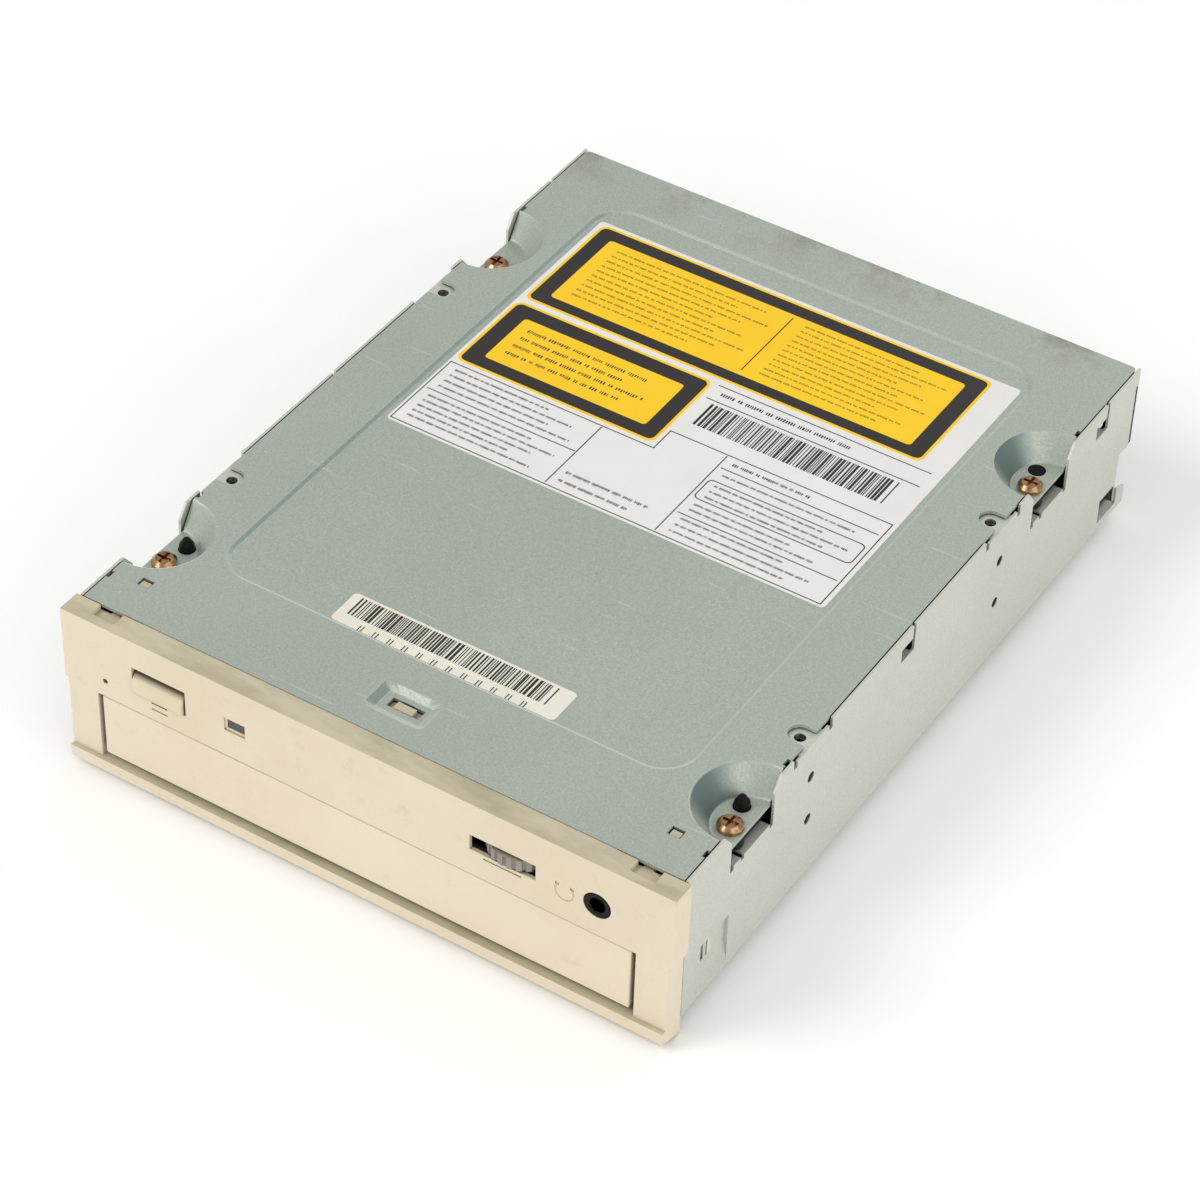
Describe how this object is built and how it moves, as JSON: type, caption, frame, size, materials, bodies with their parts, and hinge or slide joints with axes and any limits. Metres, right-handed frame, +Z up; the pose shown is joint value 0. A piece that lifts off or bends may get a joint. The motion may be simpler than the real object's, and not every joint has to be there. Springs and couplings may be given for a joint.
{
  "type": "cd-rom drive",
  "caption": "Half-height optical disc drive for a 5.25 inch bay, shown bottom up, with a sliding disc tray, eject button, volume wheel, lift mechanism and rear connectors.",
  "frame": {"origin": "middle of the width and of the length, at the height of the bezel's lowest edge", "axes": "+X across the drive, +Y towards its rear, +Z up out of its bottom cover: the drive lies upside down, as pictured"},
  "size_m": [0.1478, 0.1972, 0.0424],
  "materials": {
    "plated_steel": "zinc-plated, fine grain",
    "case_steel": "zinc-plated, pale",
    "bezel_plastic": "fine texture, aged cream",
    "black_plastic": "fine texture",
    "gloss_black": "polished",
    "smoked_plastic": "smoked, glossy",
    "grey_plastic": "moulded",
    "white_plastic": "moulded",
    "copper_screw": "copper-coloured plating",
    "paper": "printed film label",
    "board": "green solder mask",
    "chip": "moulded package",
    "steel": "plain steel",
    "gold_pin": "gold-plated",
    "rubber": "soft rubber",
    "lens": "polished",
    "lamp": "diffuse lens",
    "magnet": "sintered"
  },
  "bodies": {
    "drive": {"outer_case": "case_steel", "bottom_cover": "plated_steel", "cover_screws": "copper_screw", "main_label": "paper", "barcode_label": "paper", "front_bezel": "bezel_plastic", "eject_switch": "black_plastic", "lamp_window": "smoked_plastic", "status_lamp": "lamp", "volume_pot": "grey_plastic", "headphone_jack": "gloss_black", "main_board": "board", "board_screws": "steel", "board_chips": "chip", "board_capacitors": "steel", "data_connector": "black_plastic", "data_pins": "gold_pin", "power_connector": "white_plastic", "power_pins": "gold_pin", "audio_connector": "white_plastic", "audio_pins": "gold_pin", "jumper_block": "black_plastic", "jumper_pins": "gold_pin", "jumper_cap": "black_plastic", "chassis_frame": "black_plastic", "tray_motor": "steel", "drive_belt": "rubber", "clamper_bridge": "plated_steel", "bridge_screws": "steel"},
    "tray": {"disc_tray": "black_plastic", "tray_front": "bezel_plastic"},
    "tray_gear": {"tray_gear": "white_plastic"},
    "pulley_gear": {"pulley_gear": "white_plastic"},
    "motor_pulley": {"motor_pulley": "white_plastic"},
    "button": {"eject_button": "bezel_plastic"},
    "plunger": {"switch_plunger": "white_plastic"},
    "wheel": {"volume_wheel": "grey_plastic"},
    "slider": {"cam_slider": "black_plastic"},
    "lift": {"lift_frame": "black_plastic", "rubber_dampers": "rubber", "damper_screws": "steel", "traverse_plate": "plated_steel", "guide_rods": "steel", "rod_holders": "black_plastic", "spindle_motor": "steel", "sled_motor": "steel"},
    "turntable": {"turntable": "black_plastic", "turntable_pad": "rubber"},
    "clamper": {"clamper": "black_plastic", "clamper_magnet": "magnet"},
    "sled": {"pickup_sled": "grey_plastic", "sled_rack": "white_plastic"},
    "sled_gear": {"sled_gear": "white_plastic"},
    "pinion": {"motor_pinion": "white_plastic"},
    "lens": {"lens_holder": "black_plastic", "objective_lens": "lens"}
  },
  "joints": [
    {"name": "tray_slide", "type": "slide", "parent": "drive", "child": "tray", "axis": [0, -1, 0], "range_m": [0, 0.132]},
    {"name": "tray_gear_spin", "type": "hinge", "parent": "drive", "child": "tray_gear", "pos_m": [-0.05, -0.0759, 0.0174], "axis": [0, 0, 1], "range_deg": [-1, 841.34]},
    {"name": "pulley_gear_spin", "type": "hinge", "parent": "drive", "child": "pulley_gear", "pos_m": [-0.0316, -0.0759, 0.0204], "axis": [0, 0, 1], "range_deg": [-1921.77, 1]},
    {"name": "motor_pulley_spin", "type": "hinge", "parent": "drive", "child": "motor_pulley", "pos_m": [-0.0052, -0.0759, 0.0224], "axis": [0, 0, 1], "range_deg": [-7043.83, 1]},
    {"name": "button_press", "type": "slide", "parent": "drive", "child": "button", "axis": [0, 1, 0], "range_m": [0, 0.001], "stiffness_N_per_m": 400},
    {"name": "plunger_press", "type": "slide", "parent": "drive", "child": "plunger", "axis": [0, 1, 0], "range_m": [0, 0.0008]},
    {"name": "volume_turn", "type": "hinge", "parent": "drive", "child": "wheel", "pos_m": [0.0353, -0.0903, 0.0318], "axis": [0, 0, 1], "range_deg": [-135, 135]},
    {"name": "cam_slide", "type": "slide", "parent": "drive", "child": "slider", "axis": [1, 0, 0], "range_m": [0, 0.016]},
    {"name": "lift_tilt", "type": "hinge", "parent": "drive", "child": "lift", "pos_m": [0.004, 0.0761, 0.0267], "axis": [1, 0, 0], "range_deg": [-1.9, 0.05]},
    {"name": "turntable_spin", "type": "hinge", "parent": "lift", "child": "turntable", "pos_m": [0, -0.0259, 0.0124], "axis": [0, 0, 1], "continuous": true},
    {"name": "clamper_spin", "type": "hinge", "parent": "drive", "child": "clamper", "pos_m": [0, -0.0259, 0.0064], "axis": [0, 0, 1], "continuous": true},
    {"name": "sled_slide", "type": "slide", "parent": "lift", "child": "sled", "axis": [0, 1, 0], "range_m": [0, 0.0365]},
    {"name": "sled_gear_spin", "type": "hinge", "parent": "lift", "child": "sled_gear", "pos_m": [0.0283, 0.0304, 0.0184], "axis": [0, 0, 1], "range_deg": [-436.69, 1]},
    {"name": "pinion_spin", "type": "hinge", "parent": "lift", "child": "pinion", "pos_m": [0.03749, 0.02121, 0.0204], "axis": [0, 0, 1], "range_deg": [-1, 1453.29]},
    {"name": "lens_focus", "type": "slide", "parent": "sled", "child": "lens", "axis": [0, 0, 1], "range_m": [-0.0004, 0.0004], "stiffness_N_per_m": 40}
  ],
  "couplings": [
    {"joint": "tray_gear_spin", "follows": "tray_slide", "rad_per_m": 111.11},
    {"joint": "pulley_gear_spin", "follows": "tray_slide", "rad_per_m": -253.97},
    {"joint": "motor_pulley_spin", "follows": "tray_slide", "rad_per_m": -931.22},
    {"joint": "plunger_press", "follows": "button_press", "ratio": 0.7},
    {"joint": "lift_tilt", "follows": "cam_slide", "rad_per_m": -1.9495},
    {"joint": "clamper_spin", "follows": "turntable_spin", "ratio": 1},
    {"joint": "sled_gear_spin", "follows": "sled_slide", "rad_per_m": -208.33},
    {"joint": "pinion_spin", "follows": "sled_slide", "rad_per_m": 694.44}
  ]
}
